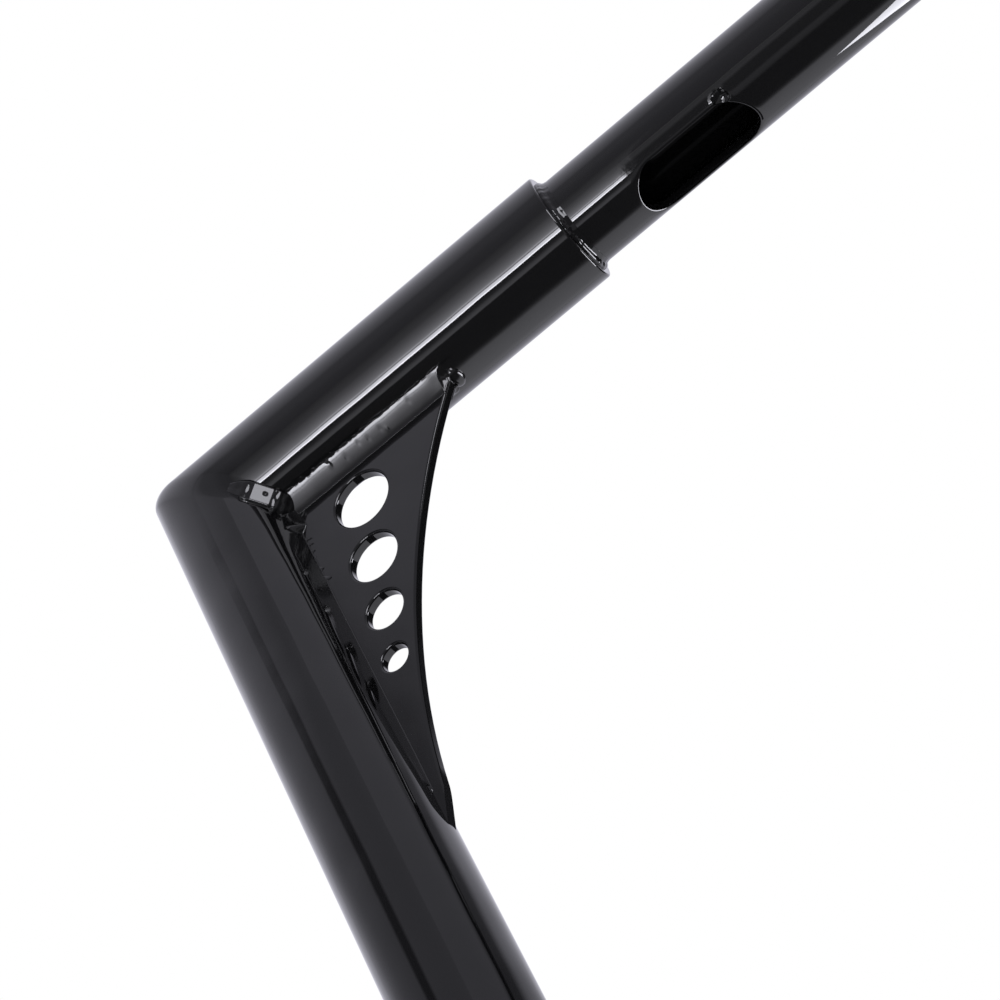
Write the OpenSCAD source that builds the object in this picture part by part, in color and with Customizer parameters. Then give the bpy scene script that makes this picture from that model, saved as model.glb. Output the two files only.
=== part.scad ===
// Tall "ape hanger" motorcycle handlebar: fat steel tubes with mitred, gusseted corners,
// and thinner tubes for the stem clamp and for the hand controls. Millimetres throughout.
// Origin: centre of the clamp tube. X to the rider's right, Y to the front, Z up.

/* [Tubes] */
// outside diameter of the fat riser and upper tubes
fat_d = 31.75; // [30:0.05:36]
// outside diameter of the clamp tube and the control tubes
thin_d = 25.4; // [22:0.1:26]
// wall of the clamp tube and the control tubes
thin_wall = 2.6; // [1.6:0.1:4]
// clearance between a thin tube and the bore of the fat tube that it is pushed into
slip = 0.12; // [0.05:0.01:0.3]
// amount turned off the radius of a control tube where it enters the fat tube
spigot_cut = 0.9; // [0.5:0.05:1.2]
// depth to which a thin tube is pushed into a fat tube
insert_depth = 25; // [12:0.5:28]

/* [Clamp tube] */
// length of thin tube seen between the two risers
clamp_length = 127; // [100:1:180]
// width of the wire outlet in the underside of the clamp tube
outlet_w = 12.7; // [6:0.1:16]
// length of the wire outlet
outlet_l = 30; // [20:0.5:60]

/* [Risers] */
// straight fat tube beside the clamp tube, before the bend
stub_length = 30; // [29:0.5:60]
// radius of the bend at the tube's centre line
bend_r = 76; // [60:1:110]
// reduction of the tube's radius in the bend, where the wall is drawn
bend_draw = 0.1; // [0.08:0.01:0.3]
// height of the corner above the clamp tube
rise = 356; // [300:1:500]
// outward lean of the riser from upright, in degrees
riser_lean = 8; // [0:0.5:15]

/* [Upper tubes] */
// backward sweep of the upper tubes, in degrees
pull_back = 40; // [20:1:55]
// downward slope of the upper tubes, in degrees
down_slope = 8; // [0:0.5:14]
// fat tube from the corner point to the step
fat_reach = 116.6; // [110:0.1:160]
// control tube from the step to its end
control_reach = 190; // [150:1:260]

/* [Wire slot] */
// distance from the step to the near end of the slot
slot_gap = 19.8; // [5:0.1:60]
// width of the slot
slot_w = 16; // [8:0.1:18]
// length of the slot
slot_l = 34.6; // [20:0.1:60]
// diameter of the locating dimple at the edge of the slot
dimple_d = 4.4; // [2:0.1:6]
// depth of the dimple
dimple_depth = 1.2; // [0.5:0.1:1.5]
// distance of the dimple from the middle of the slot, toward the grip
dimple_along = 12.8; // [0:0.1:14]

/* [Mitred corner] */
// root gap between the two mitred ends, filled with weld
root_gap = 2.4; // [1:0.1:4]
// leg of the fillet that closes the inside of the corner
inner_leg = 5; // [3:0.1:6]
// amount ground off the outer tip of the mitre
tip_trim = 1.5; // [0.5:0.1:2.2]

/* [Gusset] */
// thickness of the gusset plate
plate_t = 3.2; // [2:0.1:6]
// reach of the gusset along the upper tube, from the corner point
plate_reach = 71.5; // [60:0.1:85]
// reach of the gusset down the riser, from the corner point
plate_drop = 137; // [120:0.5:170]
// radius of the hollow free edge
edge_r = 196.3; // [150:0.1:400]
// length of the blunt nose at the lower end
nose_run = 11.7; // [5:0.1:20]
// height of the blunt nose above the riser
nose_rise = 3.65; // [2:0.05:6]
// first lightening hole, distance from the riser side
hole_a = 35.64; // [30:0.02:42]
// first lightening hole, distance from the axis of the upper tube
hole_b = 30.78; // [29:0.02:36]
// lean of the row of holes, in degrees
hole_lean = 10.8; // [5:0.1:14]
// spacing of the first and second hole
pitch_1 = 19.8; // [18:0.1:24]
// spacing of the second and third hole
pitch_2 = 17.6; // [15:0.1:21]
// spacing of the third and fourth hole
pitch_3 = 15.6; // [12:0.1:18]
// diameter of the first hole
hole_1 = 16; // [10:0.1:17]
// diameter of the second hole
hole_2 = 13.9; // [8:0.1:15]
// diameter of the third hole
hole_3 = 10.7; // [6:0.1:12]
// diameter of the fourth hole
hole_4 = 7.5; // [4:0.1:9]

/* [Welds] */
// leg of the ring weld at each step
ring_leg = 2.5; // [1.5:0.1:3]
// gusset weld along the upper tube, leg on the tube
top_leg_tube = 3.3; // [2:0.1:4.5]
// gusset weld along the upper tube, leg on the plate
top_leg_plate = 2; // [1.5:0.1:4]
// gusset weld along the riser, leg on the tube
side_leg_tube = 4.6; // [2:0.1:5]
// gusset weld along the riser, leg on the plate
side_leg_plate = 1.7; // [1.2:0.1:4]
// height of the ripple in the gusset welds
ripple = 0.3; // [0:0.05:0.6]
// length of one ripple
ripple_pitch = 4; // [3:0.5:8]

/* [Hidden] */
fat_r = fat_d / 2;
thin_r = thin_d / 2;
fat_bore_r = thin_r + slip;
spigot_r = thin_r - spigot_cut;
top_bore_r = spigot_r + slip;
thin_bore_r = thin_r - thin_wall;
$fn = 96;

// directions of the right-hand corner: e1 runs out to the grip, e2 square to it toward the riser
out_dir = [cos(pull_back) * cos(down_slope), -sin(pull_back) * cos(down_slope), -sin(down_slope)];
down_dir = [-sin(riser_lean), 0, -cos(riser_lean)];
corner_angle = acos(out_dir * down_dir);
half = corner_angle / 2;
side_dir = (down_dir - cos(corner_angle) * out_dir) / sin(corner_angle);
face_dir = cross(out_dir, side_dir);

// the riser's path in the upright plane
bend_turn = 90 - riser_lean;
bend_lap = 1.5;
bend_start = clamp_length / 2 + stub_length;
bend_end_x = bend_start + bend_r * cos(riser_lean);
bend_end_z = bend_r - bend_r * sin(riser_lean);
riser_straight = (rise - bend_end_z) / cos(riser_lean);
corner_x = bend_end_x + riser_straight * sin(riser_lean);

// where the two tubes meet on the inside and on the outside of the mitre
mitre_run = fat_r / tan(half);
trim_r = fat_r / sin(half) - tip_trim;
trim_far = fat_d * 2;
trim_near = fat_r * 0.3;
cut_size = fat_d * 4;

// gusset outline in the plane of the corner
edge_top = [plate_reach, fat_r];
edge_low = beside_riser(plate_drop - nose_run, fat_r + nose_rise);
nose_tip = beside_riser(plate_drop, fat_r);
edge_mid = (edge_top + edge_low) / 2;
edge_chord = norm(edge_low - edge_top);
edge_out = [edge_low[1] - edge_top[1], edge_top[0] - edge_low[0]] / edge_chord;
edge_centre = edge_mid + edge_out * sqrt(edge_r * edge_r - edge_chord * edge_chord / 4);
spare = 5;
hole_dir = [-sin(hole_lean), cos(hole_lean)];
hole_from = [hole_a, hole_b];

// the gusset welds run from the corner weld to the ends of the plate
bead_start = mitre_run + inner_leg * 0.62;
top_bead_end = plate_reach - 2;
side_bead_end = plate_drop - 3;
foot = sqrt(fat_r * fat_r - plate_t * plate_t / 4);

slot_mid = fat_reach + slot_gap + slot_l / 2;
slot_edge_angle = asin(slot_w / thin_d);
dimple_angle = slot_edge_angle + 3;

// a point given along the riser from the corner point, and out from the riser's axis
function beside_riser(along, out) = [
    along * cos(corner_angle) + out * sin(corner_angle),
    along * sin(corner_angle) - out * cos(corner_angle)];

// frames: the right-hand corner, and the riser as it hangs from that corner
module at_corner() {
    multmatrix([
        [out_dir[0], side_dir[0], face_dir[0], corner_x],
        [out_dir[1], side_dir[1], face_dir[1], 0],
        [out_dir[2], side_dir[2], face_dir[2], rise],
        [0, 0, 0, 1]])
        children();
}

module on_riser() {
    rotate([0, 0, corner_angle])
        rotate([180, 0, 0])
            children();
}

// a round bar along X
module bar(r, from, to) {
    translate([from, 0, 0])
        rotate([0, 90, 0])
            cylinder(r = r, h = to - from);
}

module pipe(r, bore, from, to) {
    difference() {
        bar(r, from, to);
        bar(bore, from - 1, to + 1);
    }
}

// a slot with round ends, cut downward from the axis
module round_slot(w, l, depth) {
    union() {
        translate([-(l - w) / 2, 0, -depth])
            cylinder(d = w, h = depth);
        translate([(l - w) / 2, 0, -depth])
            cylinder(d = w, h = depth);
        translate([-(l - w) / 2, -w / 2, -depth])
            cube([l - w, w, depth]);
    }
}

// straight centre tube that the stem clamps hold, with the wire outlet in its underside
module clamp_tube() {
    color([0.03, 0.03, 0.035])
        difference() {
            pipe(thin_r, thin_bore_r, -clamp_length / 2 - insert_depth, clamp_length / 2 + insert_depth);
            round_slot(outlet_w, outlet_l, thin_d);
        }
}

// the riser's side of the mitre plane, and the side of the upper tube with the root gap
module riser_half() {
    rotate([0, 0, half])
        translate([-cut_size / 2, 0, -cut_size / 2])
            cube([cut_size, cut_size, cut_size]);
}

module upper_half() {
    rotate([0, 0, half])
        translate([-cut_size / 2, root_gap - cut_size, -cut_size / 2])
            cube([cut_size, cut_size, cut_size]);
}

// the sharp outer tip of the corner, outside a ball about the corner point
module tip_waste() {
    rotate([0, 0, half])
        difference() {
            translate([-trim_far, -trim_far / 2, -trim_far / 2])
                cube([trim_far - trim_near, trim_far, trim_far]);
            sphere(r = trim_r);
        }
}

// one bent fat tube: stub, bend and riser, mitred at its upper end
module riser_path(r) {
    bar(r, clamp_length / 2, bend_start);
    translate([bend_start, 0, bend_r])
        rotate([90, 0, 0])
            rotate([0, 0, -90 - bend_lap])
                rotate_extrude(angle = bend_turn + 2 * bend_lap)
                    translate([bend_r, 0])
                        circle(r = r - bend_draw);
}

module riser() {
    color([0.03, 0.03, 0.035])
        difference() {
            union() {
                riser_path(fat_r);
                at_corner()
                    on_riser()
                        bar(fat_r, -fat_d, riser_straight);
            }
            union() {
                riser_path(fat_bore_r);
                at_corner()
                    on_riser()
                        bar(fat_bore_r, -fat_d - 1, riser_straight);
            }
            at_corner()
                upper_half();
            at_corner()
                tip_waste();
        }
}

// short fat tube from the mitre to the step
module top_tube() {
    color([0.03, 0.03, 0.035])
        at_corner()
            difference() {
                pipe(fat_r, top_bore_r, -fat_d, fat_reach);
                riser_half();
                tip_waste();
            }
}

// thin tube for grip and controls, with the wire slot and its locating dimple
module control_tube() {
    color([0.03, 0.03, 0.035])
        at_corner()
            difference() {
                union() {
                    bar(thin_r, fat_reach + ring_leg, fat_reach + control_reach);
                    bar(spigot_r, fat_reach - insert_depth, fat_reach + ring_leg + 1);
                }
                bar(thin_bore_r, fat_reach - insert_depth - 1, fat_reach + control_reach + 1);
                translate([slot_mid, 0, 0])
                    rotate([-90, 0, 0])
                        mirror([0, 0, 1])
                            round_slot(slot_w, slot_l, thin_d);
                translate([slot_mid + dimple_along, 0, 0])
                    rotate([dimple_angle * -1, 0, 0])
                        rotate([-90, 0, 0])
                            translate([0, 0, thin_r - dimple_depth])
                                cylinder(d = dimple_d, h = thin_wall);
            }
}

// flat plate coped to both tubes, hollow free edge, four holes of falling size
module plate_blank(t) {
    difference() {
        translate([0, 0, -t / 2])
            linear_extrude(t)
                polygon([
                    [0, 0],
                    [plate_reach + spare, 0],
                    [plate_reach + spare, fat_r + spare],
                    edge_low + (edge_low - nose_tip) * 0.4,
                    nose_tip + (nose_tip - edge_low) * 0.4,
                    beside_riser(plate_drop, 0)]);
        translate([edge_centre[0], edge_centre[1], -t])
            cylinder(r = edge_r, h = t * 2, $fn = 360);
    }
}

module plate_hole(along, d) {
    translate([hole_from[0] + hole_dir[0] * along, hole_from[1] + hole_dir[1] * along, -plate_t])
        cylinder(d = d, h = plate_t * 2);
}

module gusset() {
    color([0.035, 0.035, 0.04])
        at_corner()
            difference() {
                plate_blank(plate_t);
                bar(fat_r, -fat_d, fat_reach);
                on_riser()
                    bar(fat_r, -fat_d, plate_drop + fat_d);
                plate_hole(0, hole_1);
                plate_hole(pitch_1, hole_2);
                plate_hole(pitch_1 + pitch_2, hole_3);
                plate_hole(pitch_1 + pitch_2 + pitch_3, hole_4);
            }
}

// sweeps a closed section given by rows of points, one row for each station
module swept(rows) {
    n = len(rows[0]);
    m = len(rows);
    pts = [for (row = rows) for (p = row) p];
    sides = [for (i = [0:m - 2]) for (j = [0:n - 1])
        each [
            [i * n + j, (i + 1) * n + j, i * n + (j + 1) % n],
            [i * n + (j + 1) % n, (i + 1) * n + j, (i + 1) * n + (j + 1) % n]]];
    first = [for (j = [1:n - 2]) [0, j, j + 1]];
    last = [for (j = [1:n - 2]) [(m - 1) * n, (m - 1) * n + j + 1, (m - 1) * n + j]];
    polyhedron(points = pts, faces = concat(sides, first, last), convexity = 6);
}

// fillet along the inside of the mitre, fading out on both flanks of the tubes
seam_steps = 12;
seam_half = 58;
riser_out = [sin(corner_angle), -cos(corner_angle), 0];
riser_down = [cos(corner_angle), sin(corner_angle), 0];

function seam_leg(f) = inner_leg * min(1, 0.3 + (seam_half - abs(f)) / 26);
function seam_point(f) = [fat_r * cos(f) / tan(half), fat_r * cos(f), fat_r * sin(f)];
function seam_section(f) = [
    seam_point(f) + [seam_leg(f) + 0.4, 0, 0] - 0.5 * [0, cos(f), 0],
    seam_point(f) + 0.44 * seam_leg(f) * ([1, 0, 0] + riser_down),
    seam_point(f) + (seam_leg(f) + 0.4) * riser_down - 0.5 * cos(f) * riser_out,
    seam_point(f) - 1.4 * cos(f) * ([0, 1, 0] + riser_out) / 2];

module seam_bead() {
    swept([for (i = [0:seam_steps]) seam_section(seam_half * (2 * i / seam_steps - 1))]);
}

// weld that fills the root gap from bore to skin
module mitre_weld() {
    color([0.04, 0.04, 0.045])
        at_corner()
            difference() {
                intersection() {
                    on_riser()
                        pipe(fat_r, fat_bore_r, -fat_d, fat_d);
                    rotate([0, 0, half])
                        translate([-cut_size / 2, 0, -cut_size / 2])
                            cube([cut_size, root_gap, cut_size]);
                }
                tip_waste();
            }
}

// fillet over the mitre weld on the inside of the corner, on one face of the plate
module corner_fillet(outer) {
    color([0.04, 0.04, 0.045])
        at_corner()
            difference() {
                seam_bead();
                bar(fat_r, -fat_d, fat_reach);
                on_riser()
                    bar(fat_r, -fat_d, fat_reach);
                translate([-fat_d, -fat_d, outer ? -cut_size : -plate_t / 2])
                    cube([cut_size, cut_size, cut_size + plate_t / 2]);
            }
}

// ring fillet on the end face of the fat tube, around a thin tube of radius r
module ring_weld(r) {
    color([0.04, 0.04, 0.045])
        rotate([0, 90, 0])
            rotate_extrude()
                difference() {
                    translate([r, 0])
                        square([thin_r + ring_leg - r, ring_leg]);
                    translate([thin_r + ring_leg + 0.25, ring_leg + 0.25])
                        circle(r = ring_leg);
                }
}

// section of a gusset weld, legs counted from the corner between tube and plate
function wave(x) = ripple * sin(360 * x / ripple_pitch);
function ease(x, from, to) = min(1, 0.45 + (x - from) / 6, 0.45 + (to - x) / 6);
function bead_section(x, leg_tube, leg_plate, s) = [
    [x, sqrt(pow(fat_r - 0.4, 2) - pow(plate_t / 2 + leg_tube * s + wave(x), 2)),
        -plate_t / 2 - leg_tube * s - wave(x)],
    [x, foot + leg_plate * s * 0.52 + wave(x) / 3, -plate_t / 2 - leg_tube * s * 0.46],
    [x, foot + leg_plate * s + wave(x) / 2, 0.4 - plate_t / 2],
    [x, foot - 1.5, 0.4 - plate_t / 2]];

module gusset_bead(leg_tube, leg_plate, to) {
    steps = floor((to - bead_start) / (ripple_pitch / 2));
    step = (to - bead_start) / steps;
    swept([for (i = [0:steps])
        bead_section(bead_start + step * i, leg_tube, leg_plate,
            ease(bead_start + step * i, bead_start - 3, to))]);
}

// a gusset weld lies on the plate's inner face, toward the rider, or mirrored on its outer face
module on_face(outer) {
    if (outer)
        mirror([0, 0, 1])
            children();
    else
        children();
}

module top_bead(outer, to) {
    color([0.04, 0.04, 0.045])
        at_corner()
            difference() {
                on_face(outer)
                    gusset_bead(top_leg_tube, top_leg_plate, to);
                bar(fat_r, 0, fat_reach);
                translate([0, 0, -plate_t / 2])
                    cube([fat_reach, fat_d, plate_t]);
                seam_bead();
            }
}

module side_bead(outer, to) {
    color([0.04, 0.04, 0.045])
        at_corner()
            difference() {
                on_riser()
                    on_face(!outer)
                        gusset_bead(side_leg_tube, side_leg_plate, to);
                on_riser()
                    bar(fat_r, 0, plate_drop + fat_d);
                translate([0, 0, -plate_t / 2])
                    cube([fat_reach, plate_drop + fat_d, plate_t]);
                seam_bead();
            }
}

module inner_top_bead() {
    top_bead(false, top_bead_end);
}

module outer_top_bead() {
    top_bead(true, plate_reach + 1.5);
}

module inner_side_bead() {
    side_bead(false, side_bead_end);
}

module outer_side_bead() {
    side_bead(true, side_bead_end);
}

module top_step_weld() {
    at_corner()
        translate([fat_reach, 0, 0])
            ring_weld(spigot_r);
}

module base_step_weld() {
    translate([clamp_length / 2, 0, 0])
        mirror([1, 0, 0])
            ring_weld(thin_r);
}

module to_left() {
    mirror([1, 0, 0])
        children();
}

clamp_tube();
riser();  // right_riser
top_tube();  // right_top_tube
control_tube();  // right_control_tube
gusset();  // right_gusset
mitre_weld();  // right_mitre_weld
corner_fillet(false);  // right_inner_corner_fillet
corner_fillet(true);  // right_outer_corner_fillet
top_step_weld();  // right_top_step_weld
base_step_weld();  // right_base_step_weld
inner_top_bead();  // right_inner_top_bead
outer_top_bead();  // right_outer_top_bead
inner_side_bead();  // right_inner_side_bead
outer_side_bead();  // right_outer_side_bead
to_left() riser();  // left_riser
to_left() top_tube();  // left_top_tube
to_left() control_tube();  // left_control_tube
to_left() gusset();  // left_gusset
to_left() mitre_weld();  // left_mitre_weld
to_left() corner_fillet(false);  // left_inner_corner_fillet
to_left() corner_fillet(true);  // left_outer_corner_fillet
to_left() top_step_weld();  // left_top_step_weld
to_left() base_step_weld();  // left_base_step_weld
to_left() inner_top_bead();  // left_inner_top_bead
to_left() outer_top_bead();  // left_outer_top_bead
to_left() inner_side_bead();  // left_inner_side_bead
to_left() outer_side_bead();  // left_outer_side_bead
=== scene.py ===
import math
import bmesh
import bpy
from mathutils import Matrix, Vector, noise


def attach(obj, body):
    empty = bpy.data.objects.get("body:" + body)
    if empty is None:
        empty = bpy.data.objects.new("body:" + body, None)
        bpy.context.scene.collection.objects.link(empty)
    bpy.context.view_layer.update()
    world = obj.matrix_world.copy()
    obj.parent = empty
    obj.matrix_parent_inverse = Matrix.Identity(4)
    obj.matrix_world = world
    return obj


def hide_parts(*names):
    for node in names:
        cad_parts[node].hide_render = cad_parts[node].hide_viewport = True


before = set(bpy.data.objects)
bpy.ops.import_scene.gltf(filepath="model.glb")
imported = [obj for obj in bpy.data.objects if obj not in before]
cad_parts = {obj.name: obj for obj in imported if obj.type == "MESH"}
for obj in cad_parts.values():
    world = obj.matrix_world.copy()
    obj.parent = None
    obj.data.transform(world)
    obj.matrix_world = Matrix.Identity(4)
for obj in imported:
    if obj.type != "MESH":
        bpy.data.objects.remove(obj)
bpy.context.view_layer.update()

# The corner, and the camera that sees it: the right-hand corner from the rider's side, from below
# and inboard. e1 runs out along the upper tube, e2 square to it toward the riser and e3 away from
# the rider. The same three directions are given as the camera sees them (right, down, ahead).
e1 = Vector((0.75858935, -0.63653204, -0.1391731))
e2 = Vector((-0.16371776, 0.02053466, -0.98629348))
e3 = e1.cross(e2)
corner_point = Vector((0.20959833, 0, 0.356))
seen_e1 = Vector((0.75987443, -0.62542555, -0.17729562))
seen_e2 = Vector((0.32675884, 0.60324718, -0.72754484))
seen_e3 = seen_e1.cross(seen_e2)
seen_corner = Vector((-0.0708092, 0.0041616, 0.835751))

row_from_seen = Matrix((e1, e2, e3)).transposed() @ Matrix((seen_e1, seen_e2, seen_e3))
right = row_from_seen.col[0]
down = row_from_seen.col[1]
ahead = row_from_seen.col[2]
camera_turn = Matrix((right, -down, -ahead)).transposed()
camera_place = corner_point - row_from_seen @ seen_corner
bpy.ops.object.camera_add(location=camera_place, rotation=camera_turn.to_euler())
camera = bpy.context.object
camera.name = "camera"
camera.data.lens = 116.622
camera.data.sensor_width = 36
camera.data.clip_start = 0.05
bpy.context.scene.camera = camera
bpy.context.scene.view_settings.view_transform = "Standard"

# Studio: a plain pale floor well below the bar, which is held up by its clamp, and a white room that
# is dimmer behind the camera than in front of it. On the left a doorway is darker than the wall, and
# on the right the lower part is shaded, so that the paint mirrors soft bands.
floor_height = -0.46
floor_size = 14


def new_material(name):
    made = bpy.data.materials.new(name)
    made.use_nodes = True
    return made, made.node_tree, made.node_tree.nodes["Principled BSDF"]


def add_node(tree, kind, values={}):
    """A node whose settings and sockets are given by name or number; another node's socket is linked."""
    made = tree.nodes.new(kind)
    for name, value in values.items():
        if hasattr(made, str(name)):
            setattr(made, name, value)
        elif isinstance(value, bpy.types.NodeSocket):
            tree.links.new(value, made.inputs[name])
        else:
            made.inputs[name].default_value = value
    return made


def math_node(tree, operation, *values):
    return add_node(tree, "ShaderNodeMath", {"operation": operation, **dict(enumerate(values))}).outputs[0]


def smooth_map(tree, value, low, high):
    """Rises smoothly from 0 to 1 as the value goes from low to high."""
    settings = {"interpolation_type": "SMOOTHSTEP", "Value": value, "From Min": low, "From Max": high}
    return add_node(tree, "ShaderNodeMapRange", settings).outputs[0]


def mix_numbers(tree, share, first, second):
    return add_node(tree, "ShaderNodeMix", {"data_type": "FLOAT", 0: share, 2: first, 3: second}).outputs[0]


def ramp_node(tree, source, stops):
    """A ramp of pale greys, a little blue, through stops of (place, brightness)."""
    made = tree.nodes.new("ShaderNodeValToRGB")
    tree.links.new(source, made.inputs[0])
    ramp = made.color_ramp
    while len(ramp.elements) < len(stops):
        ramp.elements.new(0.5)
    for element, (at, value) in zip(ramp.elements, stops):
        element.position = at
    for element, (at, value) in zip(ramp.elements, stops):
        element.color = (value, value, value * 1.08, 1)
    return made.outputs["Color"]


bpy.ops.object.select_all(action="DESELECT")
bpy.ops.mesh.primitive_plane_add(size=floor_size, location=(0, 0, floor_height))
floor = bpy.context.object
floor.name = "floor"
floor_paint, tree, shader = new_material("pale_floor")
shader.inputs["Base Color"].default_value = (0.96, 0.97, 0.88, 1)
shader.inputs["Roughness"].default_value = 0.9
shader.inputs["Specular IOR Level"].default_value = 0.0
floor.data.materials.append(floor_paint)

room = bpy.data.worlds.new("white_room")
room.use_nodes = True
bpy.context.scene.world = room
tree = room.node_tree
way = add_node(tree, "ShaderNodeTexCoord").outputs["Generated"]
parts = add_node(tree, "ShaderNodeSeparateXYZ", {0: way})
height = parts.outputs["Z"]
around = math_node(tree, "ARCTAN2", parts.outputs["X"], parts.outputs["Y"])
door_way = math.radians(-118)
shaded_way = math.radians(96)
left_stops = [(0, 0.33), (0.45, 0.4), (0.6, 0.47), (0.76, 0.47), (0.83, 0.72), (1, 1.0)]
right_stops = [(0, 0.38), (0.45, 0.46), (0.6, 0.57), (0.7, 0.65), (0.85, 0.8), (1, 1.0)]
off_door = math_node(tree, "ABSOLUTE", math_node(tree, "SUBTRACT", around, door_way))
wall = mix_numbers(tree, smooth_map(tree, off_door, 0.8, 1.7), ramp_node(tree, height, left_stops),
                   ramp_node(tree, height, right_stops))
door_edge = math_node(tree, "MAXIMUM", smooth_map(tree, off_door, 0.08, 0.22),
                      smooth_map(tree, height, 0.76, 0.85))
wall = math_node(tree, "MULTIPLY", wall, math_node(tree, "MULTIPLY_ADD", door_edge, 0.75, 0.25))
off_shaded = math_node(tree, "ABSOLUTE", math_node(tree, "SUBTRACT", around, shaded_way))
open_side = math_node(tree, "MAXIMUM", smooth_map(tree, off_shaded, 0.45, 0.65),
                      smooth_map(tree, height, 0.42, 0.75))
front_way = (0.55, 0.83, 0)
toward_front = add_node(tree, "ShaderNodeVectorMath", {"operation": "DOT_PRODUCT", 0: way, 1: front_way})
front = smooth_map(tree, toward_front.outputs["Value"], 0.1, 0.45)
front_light = 0.86
light = mix_numbers(tree, front, wall, front_light)
light = math_node(tree, "MULTIPLY", light, math_node(tree, "MULTIPLY_ADD", open_side, 0.94, 0.06))
# The camera sees white all round, and the paint mirrors white where the room is behind the bar.
ray = add_node(tree, "ShaderNodeLightPath").outputs
beyond = math_node(tree, "MULTIPLY", front, smooth_map(tree, height, 0.36, 0.62))
mirrored = math_node(tree, "MAXIMUM", ray["Is Glossy Ray"], ray["Is Transmission Ray"])
white = math_node(tree, "MAXIMUM", ray["Is Camera Ray"], math_node(tree, "MULTIPLY", mirrored, beyond))
cool = (0.97, 0.96, 1.08, 1)
tint = add_node(tree, "ShaderNodeMix", {"data_type": "RGBA", 0: ray["Is Camera Ray"], 6: cool,
                                        7: (1, 1, 1, 1)})
back = tree.nodes["Background"]
tree.links.new(math_node(tree, "MAXIMUM", white, light), back.inputs["Strength"])
tree.links.new(tint.outputs[2], back.inputs["Color"])

# Lamp: a strip light in a long box beside the camera, low and to the left, lined up with the upper
# tube. The box glows above the strip. Under the bar a grey board glows with painted bands of light and
# shade, and a dim dark sheet, two bright cards and a dim black flag glow too. All of them are seen only in
# the paint's reflections, as painted reflections that cast no shadow and give no diffuse light.
lamp_way = Vector((-0.592, -0.584, -0.556))
lamp_up = lamp_way.cross(e1)
lamp_distance = 0.7
lamp_width = 1.4
lamp_place = corner_point - e1 * 0.073 + lamp_way * lamp_distance


def light_board(name, place, along, across, length, width, stops, gain, ends=0.0):
    """A glowing board, shaded across its width by stops, whose tips fade out over ends of its length."""
    bpy.ops.object.select_all(action="DESELECT")
    bpy.ops.mesh.primitive_plane_add(size=1)
    board = bpy.context.object
    board.name = name
    facing = along.cross(across)
    board.matrix_world = Matrix((along * length, across * width, facing)).transposed().to_4x4()
    board.location = place
    glow_paint, tree, shader = new_material(name)
    tree.nodes.remove(shader)
    place_on_board = add_node(tree, "ShaderNodeTexCoord").outputs["Object"]
    parts = add_node(tree, "ShaderNodeSeparateXYZ", {0: place_on_board})
    color = ramp_node(tree, math_node(tree, "ADD", parts.outputs["Y"], 0.5), stops)
    glow = add_node(tree, "ShaderNodeEmission", {"Strength": gain, "Color": color})
    fade = smooth_map(tree, math_node(tree, "ABSOLUTE", parts.outputs["X"]), 0.5 - ends, 0.5)
    clear = add_node(tree, "ShaderNodeBsdfTransparent")
    mixed = add_node(tree, "ShaderNodeMixShader", {0: fade, 1: glow.outputs[0], 2: clear.outputs[0]})
    tree.links.new(mixed.outputs[0], tree.nodes["Material Output"].inputs["Surface"])
    board.data.materials.append(glow_paint)
    board.visible_camera = False
    board.visible_shadow = False
    board.visible_diffuse = False


def lamp_stop(angle):
    return 0.5 + lamp_distance * math.tan(math.radians(angle)) / lamp_width


lamp_glow = [(-35, 0.003), (-24, 0.003), (-22, 0.03), (-18, 0.025), (-13, 0.008), (-5.5, 0.0035),
             (-5.2, 0.8), (-4.2, 0.75), (-3.6, 0.42), (0, 0.38), (0.8, 0.3), (1.2, 0.05), (2.2, 0.06),
             (2.9, 0.19), (4.4, 0.17), (5.4, 0.1), (9, 0.075), (14, 0.055), (20, 0.038), (30, 0.019),
             (44, 0.011)]
lamp_stops = [(lamp_stop(angle), glow) for angle, glow in lamp_glow]
light_board("strip_lamp", lamp_place, e1, lamp_up, 0.318, lamp_width, lamp_stops, 36.0, 0.015)

reflection_board_middle = Vector((0.2, -0.08, floor_height))
reflection_board_way = Vector((0.616, 0.788, 0))
reflection_board_side = Vector((-0.788, 0.616, 0))


def reflection_board_stop(at):
    return 0.5 + at / floor_size


# The grey board under the bar glows only to be mirrored: these stops are painted bands of reflected light and
# shade.
reflection_board_stops = [(0, 0.5), (reflection_board_stop(-3), 0.55), (reflection_board_stop(-2.0), 0.2), (reflection_board_stop(-0.85), 0.18),
               (reflection_board_stop(-0.7), 0.42), (reflection_board_stop(-0.5), 0.36), (reflection_board_stop(-0.38), 0.1),
               (reflection_board_stop(0.32), 0.1), (reflection_board_stop(0.42), 0.25), (reflection_board_stop(0.55), 1.15),
               (reflection_board_stop(0.8), 1.2), (reflection_board_stop(2), 0.95), (1, 0.86)]
even = [(0, 1), (1, 1)]
light_board("grey_reflection_board", reflection_board_middle + Vector((0, 0, 0.01)), -reflection_board_side, reflection_board_way, floor_size, floor_size,
            reflection_board_stops, 1.0)
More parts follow.
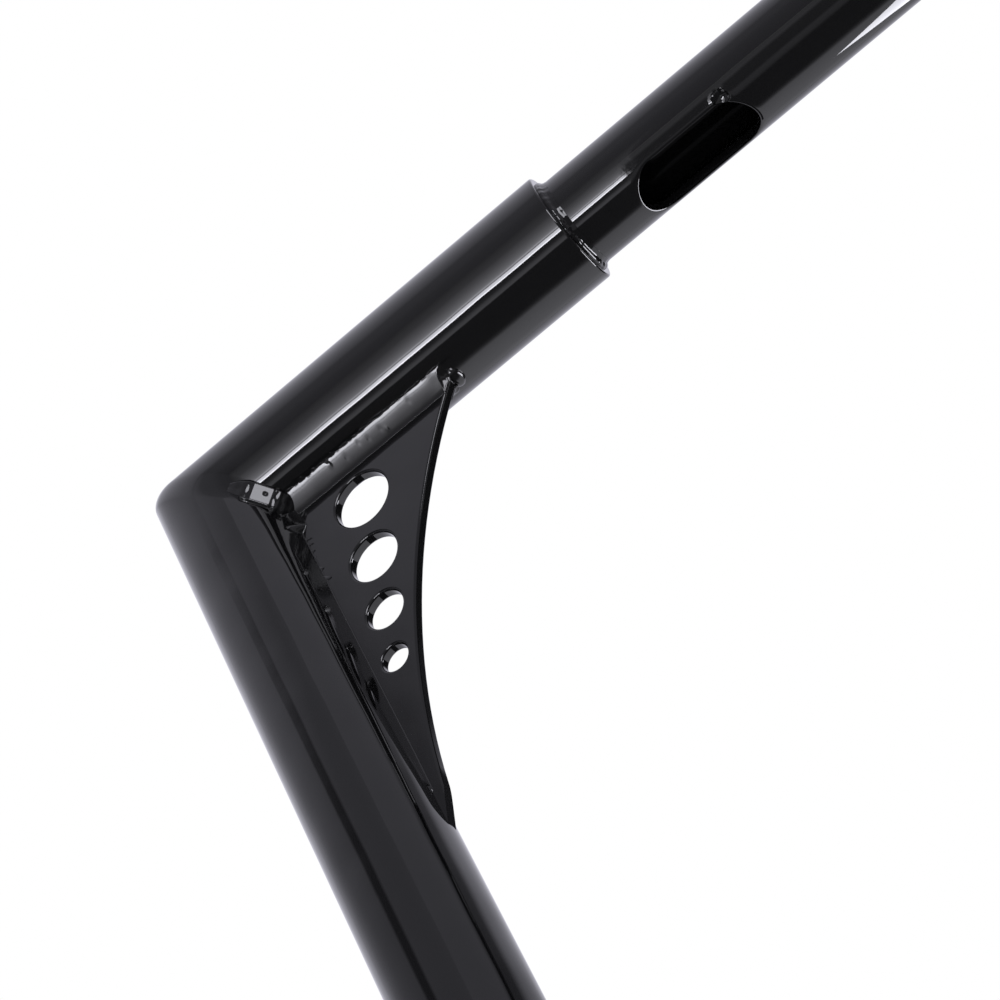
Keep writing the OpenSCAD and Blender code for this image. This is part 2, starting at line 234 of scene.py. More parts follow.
# A dim glowing board laid on the grey one, seen only in reflections: painted shade in what the paint mirrors.
light_board("dark_reflection_board", reflection_board_middle + Vector((0, 0, 0.02)) + reflection_board_way * 0.85 + reflection_board_side * 0.68,
            -reflection_board_side, reflection_board_way, 0.8, 1.2, even, 0.04, 0.02)
card_way = Vector((-0.0016, -0.9925, -0.1224))
card_along = Vector((1, 0, 0))
light_board("side_card", corner_point + card_way * 0.8, card_along, card_way.cross(card_along).normalized(),
            0.4, 0.34, even, 7.5, 0.01)
rim_card_way = Vector((0.82, 0.03, -0.57)).normalized()
rim_card_along = Vector((0.03, -0.9, -0.43)).cross(rim_card_way).cross(rim_card_way).normalized()
light_board("rim_card", corner_point + e1 * 0.1355 + e2 * 0.0125 + rim_card_way * 0.14, rim_card_along,
            rim_card_way.cross(rim_card_along).normalized(), 0.1, 0.05, even, 14.0, 0.01)
flag_way = Vector((0.9994, -0.035, 0))
light_board("black_flag", corner_point + flag_way * 2.5 - Vector((0, 0, 0.05)), Vector((0.035, 0.9994, 0)),
            Vector((0, 0, 1)), 2.6, 1.4, even, 0.03, 0.03)

# Clamp tube and paint: the clamp tube is a straight 25.4 mm steel tube between the risers, whose solid
# is right as it is. The whole bar is sprayed gloss black, with a slight orange peel and a slow swell in
# the coat.
paint, tree, shader = new_material("gloss_black_paint")
shader.inputs["Base Color"].default_value = (0.005, 0.005, 0.0055, 1)
shader.inputs["Roughness"].default_value = 0.04
shader.inputs["IOR"].default_value = 1.5
place = add_node(tree, "ShaderNodeTexCoord").outputs["Object"]
peel = add_node(tree, "ShaderNodeTexNoise", {"Scale": 420.0, "Detail": 2.0, "Vector": place})
swell = add_node(tree, "ShaderNodeTexNoise", {"Scale": 45.0, "Detail": 1.0, "Vector": place})
wave = add_node(tree, "ShaderNodeBump", {"Strength": 1.0, "Distance": 0.0002, "Height": swell.outputs[0]})
bump = add_node(tree, "ShaderNodeBump", {"Strength": 0.3, "Distance": 0.000015, "Height": peel.outputs[0],
                                         "Normal": wave.outputs[0]})
tree.links.new(bump.outputs[0], shader.inputs["Normal"])

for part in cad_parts.values():
    for slot in part.material_slots:
        slot.material = paint

# Risers and upper tubes: 31.75 mm steel tube. Each riser is bent at its foot, mitred at its top and
# welded to the short upper tube, and the seam is ground down, so that one painted skin runs over both.
# It is modelled in the corner's own frame: x out along the upper tube, y toward the riser's side.
fat_r = 0.015875
fat_wall = 0.003
fat_reach = 0.1166
fat_sides = 128
half_angle = math.radians(88.1523) / 2
riser_way = Vector((math.cos(2 * half_angle), math.sin(2 * half_angle), 0))
mitre_normal = Vector((math.sin(half_angle), -math.cos(half_angle), 0))
riser_straight = 0.293433
bend_centre = Vector((0.0935, 0, 0.076))
bend_turn = math.radians(82)
stub = 0.03
spare = 0.03
seam_round = 0.0036
filed_round = 0.0007
to_corner = Matrix.Translation(corner_point) @ Matrix((e1, e2, e3)).transposed().to_4x4()


def start_piece(name):
    piece = bpy.context.object
    piece.name = name
    piece.data.name = name
    bpy.ops.object.transform_apply(location=True, rotation=True, scale=True)
    return piece


def pick(piece, kind, test):
    """Selects the vertices, edges or faces whose places pass the test; an edge with both ends and middle."""
    shape = bmesh.from_edit_mesh(piece.data)
    bpy.ops.mesh.select_all(action="DESELECT")
    bpy.ops.mesh.select_mode(type=kind)
    members = {"VERT": shape.verts, "EDGE": shape.edges, "FACE": shape.faces}[kind]
    for member in members:
        if kind == "VERT":
            member.select_set(test(member.co))
        elif kind == "EDGE":
            ends = [v.co for v in member.verts]
            member.select_set(all(test(p) for p in (*ends, (ends[0] + ends[1]) / 2)))
        else:
            member.select_set(test(member.calc_center_median()))
    shape.select_flush_mode()
    bmesh.update_edit_mesh(piece.data)


def apply_modifier(piece, kind, **values):
    made = piece.modifiers.new(kind.lower(), kind)
    for name, value in values.items():
        setattr(made, name, value)
    bpy.context.view_layer.objects.active = piece
    bpy.ops.object.modifier_apply(modifier=made.name)


def finish_piece(piece, material, angle=35):
    bpy.ops.object.select_all(action="DESELECT")
    piece.select_set(True)
    bpy.context.view_layer.objects.active = piece
    bpy.ops.object.shade_smooth_by_angle(angle=math.radians(angle))
    apply_modifier(piece, "WEIGHTED_NORMAL", mode="FACE_AREA", weight=100, keep_sharp=True)
    piece.data.materials.clear()
    piece.data.materials.append(material)


def copy_piece(piece, name):
    twin = piece.copy()
    twin.data = piece.data.copy()
    twin.name = name
    twin.data.name = name
    bpy.context.scene.collection.objects.link(twin)
    return twin


def mirror(piece, way):
    """Mirrors a piece through the plane square to way."""
    piece.data.transform(Matrix.Scale(-1, 4, Vector(way)))
    piece.data.flip_normals()


def both_sides(piece, slot_name, *nodes):
    """Stands the piece for its solids, and a mirrored copy, which keeps that list, for the left ones too."""
    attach(piece, "root")
    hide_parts(*nodes)
    twin = copy_piece(piece, piece.name.replace("right", "left"))
    mirror(twin, (1, 0, 0))
    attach(twin, "root")
    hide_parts(*[n.replace("right", "left") for n in nodes])


bpy.ops.object.select_all(action="DESELECT")
bpy.ops.mesh.primitive_circle_add(vertices=fat_sides, radius=fat_r, location=(fat_reach, 0, 0),
                                  rotation=(0, math.pi / 2, 0))
skin = start_piece("right_riser_and_top_tube")
bpy.ops.object.mode_set(mode="EDIT")
bpy.ops.mesh.select_all(action="SELECT")
bpy.ops.mesh.extrude_edges_move(TRANSFORM_OT_translate={"value": (-fat_reach - spare, 0, 0)})
bpy.ops.mesh.select_all(action="SELECT")
bpy.ops.mesh.bisect(plane_co=(0, 0, 0), plane_no=mitre_normal, clear_inner=True)
pick(skin, "EDGE", lambda p: abs(p.dot(mitre_normal)) < 1e-5)
bpy.ops.mesh.extrude_edges_move(TRANSFORM_OT_translate={"value": riser_way * (riser_straight + spare)})
bpy.ops.mesh.select_all(action="SELECT")
bpy.ops.mesh.bisect(plane_co=riser_way * riser_straight, plane_no=riser_way, clear_outer=True)
pick(skin, "EDGE", lambda p: abs(p.dot(mitre_normal)) < 1e-5 and p.length < 0.04)
bpy.ops.mesh.bevel(offset=seam_round, segments=10, profile=0.5, affect="EDGES")
bpy.ops.object.mode_set(mode="OBJECT")
skin.data.transform(to_corner)
foot_way = to_corner.to_3x3() @ riser_way
riser_foot = corner_point + foot_way * riser_straight
bpy.ops.object.mode_set(mode="EDIT")
pick(skin, "EDGE", lambda p: abs((p - riser_foot).dot(foot_way)) < 1e-5)
bpy.ops.mesh.spin(steps=40, angle=-bend_turn, center=bend_centre, axis=(0, 1, 0))
bpy.ops.mesh.extrude_edges_move(TRANSFORM_OT_translate={"value": (-stub, 0, 0)})
bpy.ops.mesh.select_all(action="SELECT")
bpy.ops.mesh.remove_doubles(threshold=1e-6)
bpy.ops.mesh.normals_make_consistent(inside=False)
bpy.ops.object.mode_set(mode="OBJECT")
apply_modifier(skin, "SOLIDIFY", thickness=fat_wall, offset=-1, use_even_offset=True)
bpy.ops.object.mode_set(mode="EDIT")
step_point = corner_point + e1 * fat_reach
pick(skin, "EDGE", lambda p: abs((p - step_point).dot(e1)) < 1e-5
     and (p - step_point).length > fat_r - 1e-4)
bpy.ops.mesh.bevel(offset=filed_round, segments=6, profile=0.5, affect="EDGES")
bpy.ops.object.mode_set(mode="OBJECT")
finish_piece(skin, paint)
both_sides(skin, "gloss_black_paint", "right_riser", "right_top_tube", "right_mitre_weld")

# Control tubes: 25.4 mm steel tube for the switches and the grips. The inner end is turned down and
# pushed into the upper tube. A wire slot is milled through the wall from below, its edge is filed
# round, and a small dimple beside it is drilled to seat the switch housing. Sizes are in millimetres.
thin_r = 12.7
thin_bore = 10.1
spigot_r = 11.8
spigot_end = 91.6
shoulder = 119.1
grip_end = 306.6
slot_middle = 153.2
slot_core = 9.8
slot_half = 8.0
slot_round = 1.7
slot_drop = 0.5
end_round = 0.7
tube_sides = 256
patch_half = 22.0
turn_step = math.tau / tube_sides
patch_turns = 42
patch_rows = 36
dimple_at = 13.3
dimple_turn = math.radians(42)
dimple_r = 2.2
dimple_depth = 1.2


def grid_sheet(name, columns, rows, surface):
    """A grid whose vertices are put where surface(u, v) says, with u and v from 0 to 1."""
    bpy.ops.object.select_all(action="DESELECT")
    bpy.ops.mesh.primitive_grid_add(x_subdivisions=columns, y_subdivisions=rows, size=1,
                                    location=(0.5, 0.5, 0))
    sheet = start_piece(name)
    for vertex in sheet.data.vertices:
        vertex.co = surface(vertex.co.x, vertex.co.y)
    sheet.data.update()
    return sheet


def join_sheets(sheets, close=True):
    """Joins sheets into the first one, merges their common edges and turns the faces outward."""
    bpy.ops.object.select_all(action="DESELECT")
    for sheet in sheets:
        sheet.select_set(True)
    bpy.context.view_layer.objects.active = sheets[0]
    if len(sheets) > 1:
        bpy.ops.object.join()
    bpy.ops.object.mode_set(mode="EDIT")
    bpy.ops.mesh.select_all(action="SELECT")
    bpy.ops.mesh.remove_doubles(threshold=2e-6)
    if close:
        bpy.ops.mesh.normals_make_consistent(inside=False)
    bpy.ops.object.mode_set(mode="OBJECT")
    return sheets[0]


def on_tube(along, turn, radius):
    """A point at this turn round the tube from the slot's middle, in the corner's frame, in metres."""
    return Vector((along, radius * math.cos(turn), -radius * math.sin(turn))) * 0.001


def dimple(along, turn):
    """How deep the dimple is at a point of the tube, with the low lip that the drill raises round it."""
    away = math.hypot(along - dimple_at, thin_r * (turn - dimple_turn)) / dimple_r
    lip = -0.07 * math.exp(-((away - 1.12) / 0.14) ** 2)
    return lip + (dimple_depth * (1 - away * away) ** 0.6 if away < 1 else 0)


def patch_corner(share):
    """A point on the edge of the patch round the slot, at this share of the way round: (along, turn)."""
    wide = patch_turns * 2
    at = round(share * 2 * (wide + patch_rows * 2)) % (2 * (wide + patch_rows * 2))
    steps = [wide, patch_rows * 2, wide, patch_rows * 2]
    corners = [(patch_half, -1), (patch_half, 1), (-patch_half, 1), (-patch_half, -1)]
    side = 0
    while at >= steps[side]:
        at -= steps[side]
        side += 1
    (a0, t0), (a1, t1) = corners[side], corners[(side + 1) % 4]
    part = at / steps[side]
    return a0 + (a1 - a0) * part, (t0 + (t1 - t0) * part) * patch_turns * turn_step


def slot_edge(along, turn, outset, radius):
    """The point of the slot's outline, moved out by outset, that is nearest to a point of the tube."""
    core = min(slot_core, max(-slot_core, along))
    way = Vector((along - core, thin_r * turn)).normalized()
    side = way.y * (slot_half + outset)
    return core + way.x * (slot_half + outset), math.asin(side / radius)


inner_shares = [1, 0.6, 0.3, 0.12, 0]
wall_shares = [0.33, 0.66, 1]
round_shares = [0.1, 0.22, 0.36, 0.5, 0.66, 0.82, 1]
outer_shares = [0.04, 0.09, 0.15, 0.22, 0.3, 0.4, 0.5, 0.6, 0.72, 0.86, 1]
slot_rows = ([("inner", x) for x in inner_shares] + [("wall", x) for x in wall_shares]
             + [("round", x) for x in round_shares] + [("outer", x) for x in outer_shares])


def slot_patch(u, v):
    """The tube's wall round the slot: its bore, the slot's wall, the filed edge and the outer skin."""
    along, turn = patch_corner(u)
    kind, share = slot_rows[round(v * (len(slot_rows) - 1))]
    if kind in ("inner", "outer"):
        outset, radius = (0, thin_bore) if kind == "inner" else (slot_round, thin_r)
        edge_along, edge_turn = slot_edge(along, turn, outset, radius)
        here = edge_along + (along - edge_along) * share
        here_turn = edge_turn + (turn - edge_turn) * share
        if kind == "outer":
            radius -= dimple(here, here_turn) * (1 - share ** 6)
        return on_tube(slot_middle + here, here_turn, radius)
    outset = slot_round * share * share if kind == "round" else 0
    edge_along, edge_turn = slot_edge(along, turn, outset, thin_r)
    side = thin_r * math.sin(edge_turn)
    top = math.sqrt(thin_r ** 2 - side ** 2)
    if kind == "round":
        height = top - slot_drop * (1 - share) ** 2
    else:
        low = math.sqrt(thin_bore ** 2 - side ** 2)
        height = low + (top - slot_drop - low) * share
    pushed = dimple(edge_along, edge_turn) * (share if kind == "wall" else 1)
    height -= pushed * math.cos(edge_turn)
    side -= pushed * math.sin(edge_turn)
    return Vector((slot_middle + edge_along, height, -side)) * 0.001


near = slot_middle - patch_half
far = slot_middle + patch_half


def belt(radius):
    """The rest of the way round the tube beside the patch."""
    first = patch_turns * turn_step

    def surface(u, v):
        along = near + (far - near) * v
        return on_tube(along, first + (math.tau - 2 * first) * u, radius)
    return surface


def turned(profile):
    """A surface of revolution about the tube's axis, through points (along, radius)."""
    def surface(u, v):
        along, radius = profile[round(v * (len(profile) - 1))]
        return on_tube(along, u * math.tau + patch_turns * turn_step, radius)
    return surface


inner_end = [(near, thin_r), (126, thin_r), (shoulder, thin_r), (shoulder, spigot_r), (105, spigot_r),
             (spigot_end + 0.8, spigot_r), (spigot_end, spigot_r - 0.6), (spigot_end, thin_bore),
             (112, thin_bore), (near, thin_bore)]
outer_end = [(far + (grip_end - 1.0 - far) * i / 12, thin_r) for i in range(12)]
for degrees in (0, 15, 30, 45, 60, 75, 90):
    round_turn = math.radians(degrees)
    outer_end.append((grip_end - end_round + end_round * math.sin(round_turn),
                      thin_r - end_round + end_round * math.cos(round_turn)))
outer_end += [(grip_end, thin_bore + 0.35), (grip_end - 0.35, thin_bore), (240, thin_bore), (far, thin_bore)]
control_tube = join_sheets([
    grid_sheet("right_wire_slot_tube", 4 * (patch_turns + patch_rows), len(slot_rows) - 1, slot_patch),
    grid_sheet("belt", tube_sides - 2 * patch_turns, 2 * patch_rows, belt(thin_r)),
    grid_sheet("inner_belt", tube_sides - 2 * patch_turns, 2 * patch_rows, belt(thin_bore)),
    grid_sheet("inner_end", tube_sides, len(inner_end) - 1, turned(inner_end)),
    grid_sheet("outer_end", tube_sides, len(outer_end) - 1, turned(outer_end))])
control_tube.data.transform(to_corner)
finish_piece(control_tube, paint, 32)
both_sides(control_tube, "gloss_black_paint", "right_control_tube")

# Step welds: one small ring of weld where each thin tube enters a fat one, laid while the bar is turned
# slowly, so that its toe wanders a little. The fat tube's end face and rounded lip stay in view.


def ring_weld(name, seed):
    """A ring of weld about x, lying on the plane x = 0 and on the thin tube beyond it."""
    wander = 0.12
    inner = thin_r - 0.4
    profile = [(-0.3, 13.9), (0.1, 13.85), (0.32, 13.88), (0.58, 13.78), (0.82, 13.56), (1.02, 13.27),
               (1.22, 13.04), (1.5, 12.89), (1.9, 12.78), (2.3, 12.71), (2.5, 12.62), (2.4, inner),
               (-0.3, inner), (-0.3, 13.9)]

    def surface(u, v):
        along, radius = profile[round(v * (len(profile) - 1))]
        turn = u * math.tau
        around = Vector((math.cos(turn), math.sin(turn), 0)) * 9
        swell = 1 + wander * noise.noise(around + Vector((0, 0, seed)))
        swell += wander * 0.5 * noise.noise(around * 2.3)
        if radius > thin_r and along > 0:
            radius = thin_r + (radius - thin_r) * swell
            along *= swell
        return on_tube(along, turn, radius)
    return join_sheets([grid_sheet(name, tube_sides, len(profile) - 1, surface)])


top_ring = ring_weld("right_top_ring_weld", 1.0)
top_ring.data.transform(to_corner @ Matrix.Translation((fat_reach, 0, 0)))
finish_piece(top_ring, paint, 50)
both_sides(top_ring, "painted_weld", "right_top_step_weld")
clamp_half = 0.0635
base_ring = ring_weld("right_base_ring_weld", 5.0)
base_ring.data.transform(Matrix.Translation((clamp_half, 0, 0)) @ Matrix.Rotation(math.pi, 4, "Z"))
finish_piece(base_ring, paint, 50)
both_sides(base_ring, "painted_weld", "right_base_step_weld")

# Gusset plates: 3.2 mm steel, cut to a hollow free edge, drilled with four holes of falling size
# and coped to both tubes. The free edge and the hole rims are broken with a file.
edge_centre = Vector((0.218757, 0.145639))
edge_radius = 0.196293
plate_half = 0.0016
hole_lean = math.radians(10.8)
hole_way = Vector((-math.sin(hole_lean), math.cos(hole_lean)))
hole_first = Vector((0.03564, 0.03078))
holes = [(0.0, 0.008), (0.0198, 0.00695), (0.0374, 0.00535), (0.053, 0.00375)]
rim_slack = 6e-5


def on_rim(p):
    """Whether a point lies on the rim of a hole or of the free edge, on either face of the plate."""
    flat = Vector((p.x, p.y))
    if abs(abs(p.z) - plate_half) > 1e-5:
        return False
    if abs((flat - edge_centre).length - edge_radius) < rim_slack:
        return True
    return any(abs((flat - hole_first - hole_way * at).length - r) < rim_slack for at, r in holes)


def from_node(name, new_name):
    """A copy of a solid's mesh as a new piece, with its loose triangles merged into whole faces."""
    piece = bpy.data.objects.new(new_name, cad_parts[name].data.copy())
    bpy.context.scene.collection.objects.link(piece)
    bpy.ops.object.select_all(action="DESELECT")
    piece.select_set(True)
    bpy.context.view_layer.objects.active = piece
    bpy.ops.mesh.customdata_custom_splitnormals_clear()
    bpy.ops.object.mode_set(mode="EDIT")
    bpy.ops.mesh.select_all(action="SELECT")
    bpy.ops.mesh.remove_doubles(threshold=2e-6)
    bpy.ops.mesh.dissolve_limited(angle_limit=math.radians(0.2), delimit=set())
    bpy.ops.object.mode_set(mode="OBJECT")
    return piece


plate = from_node("right_gusset", "right_gusset_plate")
plate.data.transform(to_corner.inverted())
bpy.ops.object.mode_set(mode="EDIT")
pick(plate, "EDGE", on_rim)
bpy.ops.mesh.bevel(offset=filed_round, segments=5, profile=0.5, affect="EDGES", clamp_overlap=False)
bpy.ops.object.mode_set(mode="OBJECT")
plate.data.transform(to_corner)
finish_piece(plate, paint, 30)
both_sides(plate, "gloss_black_paint", "right_gusset")

# Upper gusset welds: one run of weld on each face of the plate along the upper tube, from the corner to
# the plate's end. It is laid on by hand, so its toe wanders and its skin is pitted, and at the outer end
# the far run is brought round the plate's nose as a lobe.
weld_paint, tree, shader = new_material("painted_weld")
shader.inputs["Base Color"].default_value = (0.006, 0.006, 0.0065, 1)
shader.inputs["Roughness"].default_value = 0.1
shader.inputs["IOR"].default_value = 1.5
place = add_node(tree, "ShaderNodeTexCoord").outputs["Object"]
lumps = add_node(tree, "ShaderNodeTexNoise", {"Scale": 500.0, "Detail": 2.0, "Vector": place})
bump = add_node(tree, "ShaderNodeBump", {"Strength": 0.4, "Distance": 0.000015, "Height": lumps.outputs[0]})
tree.links.new(bump.outputs[0], shader.inputs["Normal"])
skin_r = fat_r * 1000
plate_face = plate_half * 1000


def smooth_step(low, high, x):
    t = min(1, max(0, (x - low) / (high - low)))
    return t * t * (3 - 2 * t)


def table(pairs, x):
    """The value at x in a list of (place, value), with smooth steps between them."""
    for (x0, y0), (x1, y1) in zip(pairs, pairs[1:]):
        if x <= x1:
            return y0 + (y1 - y0) * smooth_step(x0, x1, x)
    return pairs[-1][1]


def weld_profile(reach, foot, lower_hollow, bend, shallowest, crease, lip):
    """Points (out, height) from the tube's skin to the plate: a hollow toe, a face and a hollow foot.

    reach is the toe's height above the plate's middle plane and foot is how far out the weld ends.
    bend(face) is half the angle through which the face bends, and the face is found between the
    steepest angle and shallowest. The foot flattens to the angle crease and ends in a small lip."""
    tube_angle = math.acos(reach / skin_r)
    start_out = math.sqrt(skin_r ** 2 - reach * reach)
    drop = reach - plate_face - lip
    upper_hollow = 1.4
    steep, shallow = tube_angle - math.radians(1), shallowest
    for _ in range(24):
        face = (steep + shallow) / 2
        fall = bend(face)
        top, low = face + fall, face - fall
        upper = upper_hollow * (math.cos(top) - math.cos(tube_angle))
        lower = lower_hollow * (math.cos(crease) - math.cos(low))
        shrink = min(1, drop * 0.85 / (upper + lower))
        flat = (drop - (upper + lower) * shrink) / math.sin(face)
        run = flat * math.cos(face) + shrink * (upper_hollow * (math.sin(tube_angle) - math.sin(top))
                                                + lower_hollow * (math.sin(low) - math.sin(crease)))
        if run > foot - start_out:
            shallow = face
        else:
            steep = face
    out, height = start_out, reach
    points = [(out - 0.5, height + 0.15), (out, height)]
    toe_length = upper_hollow * shrink * (tube_angle - top)
    foot_length = lower_hollow * shrink * (low - crease)
    for length, angle_from, angle_to in ((toe_length, tube_angle, top), (flat, top, low),
                                         (foot_length, low, crease)):
        for i in range(10):
            angle = angle_from + (angle_to - angle_from) * (i + 0.5) / 10
            out += length / 10 * math.cos(angle)
            height -= length / 10 * math.sin(angle)
            points.append((out, height))
    points += [(out + lip * 0.35, height - lip * 0.5), (out + lip * 0.5, height - lip - 0.4)]
    return points


def tube_weld(name, start, end, toe, foot, shape, foot_spikes, pits, seed, wander, cap_start, cap_end,
              lean=0.0, rough=0.03):
    """A weld along x beside a tube, as a sheet: toe(x) and foot(x) are where it ends on the tube and on
    the plate, and shape holds the rest of weld_profile. wander(x) is how far the toe strays,
    foot_spikes(x) lengthens the foot, pits are (x, v, radius, depth), and the ends close over
    cap_start and cap_end. lean pulls the outer end along the tube and rough roughens the face."""
    profiles = {}

    def surface(u, v):
        x = start + (end - start) * u
        if x not in profiles:
            loose = noise.noise(Vector((x / 2.0, seed, 0))) * wander(x)
            loose += noise.noise(Vector((x / 1.1, seed, 3))) * wander(x) * 0.18
            foot_loose = 0.12 * noise.noise(Vector((x / 5.0, seed, 7)))
            full = weld_profile(toe(x), foot(x) + foot_loose * shape[0] / top_shape[0], *shape)
            size = 1.0
            if x < start + cap_start:
                size = math.sqrt(max(0, 1 - (1 - (x - start) / cap_start) ** 2))
            if x > end - cap_end:
                size = math.sqrt(max(0, 1 - (1 - (end - x) / cap_end) ** 2))
            profiles[x] = (full, size, loose)
        full, size, loose = profiles[x]
        at = v * (len(full) - 1)
        i = min(int(at), len(full) - 2)
        part = at - i
        out = full[i][0] + (full[i + 1][0] - full[i][0]) * part
        height = full[i][1] + (full[i + 1][1] - full[i][1]) * part
        climb = loose * size * (1 - smooth_step(0.04, 0.36, v))
        out -= climb * toe(x) / skin_r
        height += climb * math.sqrt(1 - (toe(x) / skin_r) ** 2)
        if size < 1:
            middle = len(full) * 0.45
            if at < middle:
                low_height = full[1][1] + (plate_face - full[1][1]) * at / middle
                low_out = math.sqrt(skin_r ** 2 - low_height ** 2) - 0.3
            else:
                low_height = 1.3
                low_out = 15.5 + (full[-1][0] - 15.5) * (at - middle) / (len(full) - 1 - middle)
            out = low_out + (out - low_out) * size
            height = low_height + (height - low_height) * size
        reached = foot_spikes(x) * smooth_step(0.78, 0.94, v)
        along = x + reached * 0.6 + lean * smooth_step(end - 9, end, x) * (1 - v)
        point = Vector((along, out + reached, -height))
        if 0.1 < v < 0.9:
            normal = Vector((0, 0.64, -0.77))
            body = smooth_step(0.1, 0.3, v) * (1 - smooth_step(0.6, 0.9, v)) * size
            point += normal * body * rough * noise.noise(Vector((x / 3.0, v * 2.5, seed + 5)))
            for px, pv, pr, pd in pits:
                away = math.hypot(x - px, (v - pv) * 9) / pr
                if away < 3:
                    point -= normal * pd * math.exp(-away * away)
        return point * 0.001
    return join_sheets([grid_sheet(name, 420, 46, surface)], close=False)


def face_out(sheet, toward):
    """Turns a sheet's faces toward the given side and gives it its thickness inward."""
    mean = Vector((0, 0, 0))
    for face in sheet.data.polygons:
        mean += face.normal * face.area
    if mean.dot(toward) < 0:
        sheet.data.flip_normals()
    apply_modifier(sheet, "SOLIDIFY", thickness=0.0004, offset=-1, use_even_offset=False)


toe_angle = math.radians(46.6)
top_shape = (5.5, lambda face: toe_angle - face, math.radians(30.5), math.radians(12), 0.12)
top_toe = [(14, 5.4), (20, 5.7), (30, 5.6), (62, 5.6), (70, 5.75)]


def top_foot(x):
    """Where the weld ends on the plate, kept inside the plate's hollow free edge."""
    aside = x - edge_centre.x * 1000
    free_edge = edge_centre.y * 1000 - math.sqrt(max(0, (edge_radius * 1000) ** 2 - aside ** 2))
    return min(20.3, free_edge - 0.3)


top_pits = [(32.9, 0.42, 0.6, 0.12), (37.6, 0.5, 0.55, -0.06), (42.2, 0.45, 0.5, -0.06),
            (45.0, 0.5, 0.5, -0.06), (48.9, 0.5, 0.5, -0.07), (50.3, 0.58, 0.5, 0.08),
            (58.9, 0.45, 0.5, -0.06), (66.5, 0.5, 1.2, -0.1)]
near_top = tube_weld("right_inner_top_weld", 15.0, 70.3, lambda x: table(top_toe, x), top_foot, top_shape,
                     lambda x: 0.0, top_pits, 2.0, lambda x: 1.2 - 0.75 * smooth_step(28, 46, x),
                     1.6, 1.6, 2.4)
weld_out = Vector((0, 0.8, -0.6))
face_out(near_top, weld_out)
near_top.data.transform(to_corner)
finish_piece(near_top, weld_paint, 60)
both_sides(near_top, "painted_weld", "right_inner_top_bead")

far_toe = [(14, 5.4), (20, 5.7), (66, 5.6), (72, 5.8)]
far_top = tube_weld("right_outer_top_weld", 15.0, 70.8, lambda x: table(far_toe, x), top_foot, top_shape,
                    lambda x: 0.0, [], 11.0, lambda x: 0.3, 1.6, 2.2)
face_out(far_top, weld_out)
mirror(far_top, (0, 0, 1))
bpy.ops.object.select_all(action="DESELECT")
bpy.ops.mesh.primitive_uv_sphere_add(segments=48, ring_count=32, radius=1)
lobe = start_piece("lobe")
lobe_middle = Vector((71.4, 15.3, 0.5))
lobe_size = Vector((2.3, 2.1, 3.5))
for vertex in lobe.data.vertices:
    swell = 1 + 0.05 * noise.noise(vertex.co * 1.3 + Vector((4, 0, 0)))
    vertex.co = (lobe_middle + vertex.co * lobe_size * swell) * 0.001
bpy.ops.object.select_all(action="DESELECT")
lobe.select_set(True)
far_top.select_set(True)
bpy.context.view_layer.objects.active = far_top
bpy.ops.object.join()
far_top.data.transform(to_corner)
finish_piece(far_top, weld_paint, 60)
both_sides(far_top, "painted_weld", "right_outer_top_bead")

# Riser welds: one run of weld on each face of the plate down the riser, steeper than the upper ones and
# with a few pointed marks at its foot. It is shaped in the riser's own frame, which is turned over
# beside the upper tube's, and mirrored to the near face.
to_riser = Matrix.Rotation(2 * half_angle, 4, "Z") @ Matrix.Rotation(math.pi, 4, "X")
side_shape = (0.6, lambda face: math.radians(1.0), math.radians(28), math.radians(25), 0.15)
side_toe = [(14, 4.8), (20, 5.6), (30, 6.7), (45, 6.7), (65, 6.0), (85, 5.0), (110, 4.4), (122, 3.6),
            (127, 2.8)]
side_foot = [(14, 18.2), (20, 18.7), (25.5, 19.0), (28, 17.0), (60, 16.8), (110, 16.7), (127, 16.5)]
foot_marks = [(30.1, 1.6, 0.5), (32.2, 1.4, 0.45), (34.9, 0.9, 0.5), (37.2, 0.4, 0.5), (42.1, 0.9, 0.7),
              (46.2, 1.6, 0.9)]


def spiked_foot(x):
    """How far the pointed marks reach out on the plate at x."""
    return sum(length * max(0, 1 - abs(x - at) / wide) for at, length, wide in foot_marks)


near_side = tube_weld("right_inner_side_weld", 15.5, 127.0, lambda x: table(side_toe, x),
                      lambda x: table(side_foot, x), side_shape, spiked_foot, [], 21.0,
                      lambda x: 0.3 * (1 - smooth_step(24, 27, x)), 1.6, 2.5, rough=0.0)
face_out(near_side, weld_out)
far_side = copy_piece(near_side, "right_outer_side_weld")
far_side.data.transform(to_corner @ to_riser)
finish_piece(far_side, weld_paint, 60)
both_sides(far_side, "painted_weld", "right_outer_side_bead")
mirror(near_side, (0, 0, 1))
near_side.data.transform(to_corner @ to_riser)
finish_piece(near_side, weld_paint, 60)
both_sides(near_side, "painted_weld", "right_inner_side_bead")

# Corner fillets: the last weld on each side of the plate, along the inside of the mitre. It is left
# as it was laid, with a broad flat facet, while the rest of the seam is ground smooth.
weld_from, weld_to = 4.0, 62
facet_from, facet_to = math.radians(29), math.radians(48)
fillet_leg = 4.7


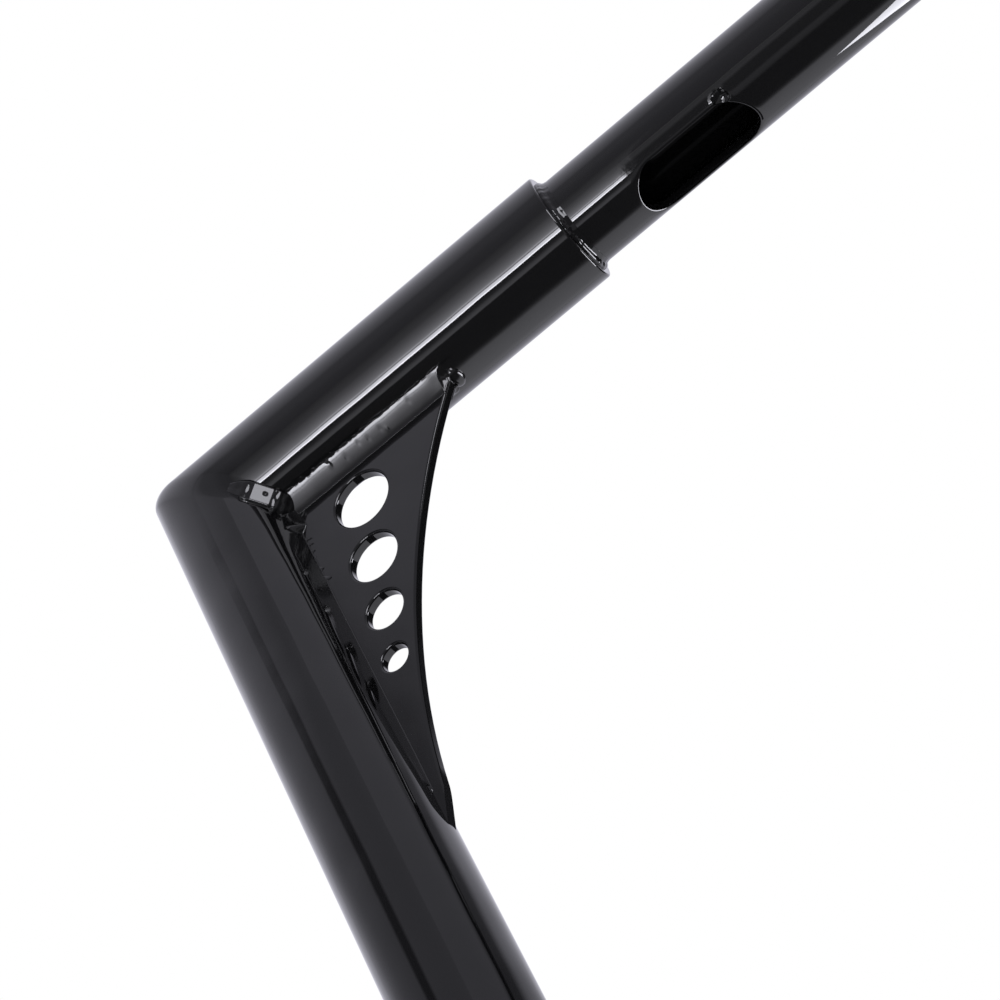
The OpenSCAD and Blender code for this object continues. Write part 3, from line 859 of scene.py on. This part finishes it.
def mitre_seam(angle):
    """The inside of the mitre, at this angle from the plate's plane toward the side."""
    side = skin_r * math.cos(angle)
    return Vector((side / math.tan(half_angle), side, -skin_r * math.sin(angle)))


def corner_weld(name, seed):
    """The fillet as a sheet: u goes round the inside of the mitre, v from the upper tube to the riser."""
    def surface(u, v):
        around = math.radians(weld_from + (weld_to - weld_from) * u)
        fade = min(1, (weld_to - math.degrees(around)) / 14)
        fade = math.sqrt(max(0, 1 - (1 - fade) ** 2))
        seam = mitre_seam(around)
        share = (around - facet_from) / (facet_to - facet_from)
        on_facet = 0 < share < 1
        leg = fillet_leg + (0 if on_facet else 0.5 * noise.noise(Vector((u * 9, seed, 0))))
        leg *= 0.12 + 0.88 * fade
        if on_facet:
            seam = mitre_seam(facet_from).lerp(mitre_seam(facet_to), share)
        w = min(1, max(0, (v - 0.1) / 0.8))
        on_top = seam + Vector((leg, 0, 0))
        on_side = seam + riser_way * leg
        inward = math.cos(around) * 0.7
        normal = Vector((math.cos(half_angle) * inward, math.sin(half_angle) * inward, -math.sin(around)))
        normal.normalize()
        arch = 1 - smooth_step(0.66, 1, abs(2 * w - 1))
        point = on_top.lerp(on_side, w) + normal * (0.55 * arch * fade - 0.12)
        if on_facet:
            point += normal * arch * (0.22 * min(1, 9 * share, 9 * (1 - share)))
        else:
            point += normal * 0.14 * noise.noise(Vector((u * 16, w * 3, seed))) * arch
        away = math.hypot((u - 0.55) * 14, (w - 0.45) * 6) / 0.4
        point -= normal * 0.25 * math.exp(-away * away)
        if v < 0.1:
            point -= normal * (0.1 - v) * 8
        if v > 0.9:
            point -= normal * (v - 0.9) * 8
        return point * 0.001
    return join_sheets([grid_sheet(name, 140, 44, surface)], close=False)


near_corner = corner_weld("right_inner_corner_weld", 3.0)
face_out(near_corner, Vector((0.6, 0.6, -0.5)))
far_corner = copy_piece(near_corner, "right_outer_corner_weld")
mirror(far_corner, (0, 0, 1))
for fillet, solid in ((near_corner, "right_inner_corner_fillet"),
                      (far_corner, "right_outer_corner_fillet")):
    fillet.data.transform(to_corner)
    finish_piece(fillet, weld_paint, 60)
    both_sides(fillet, "painted_weld", solid)
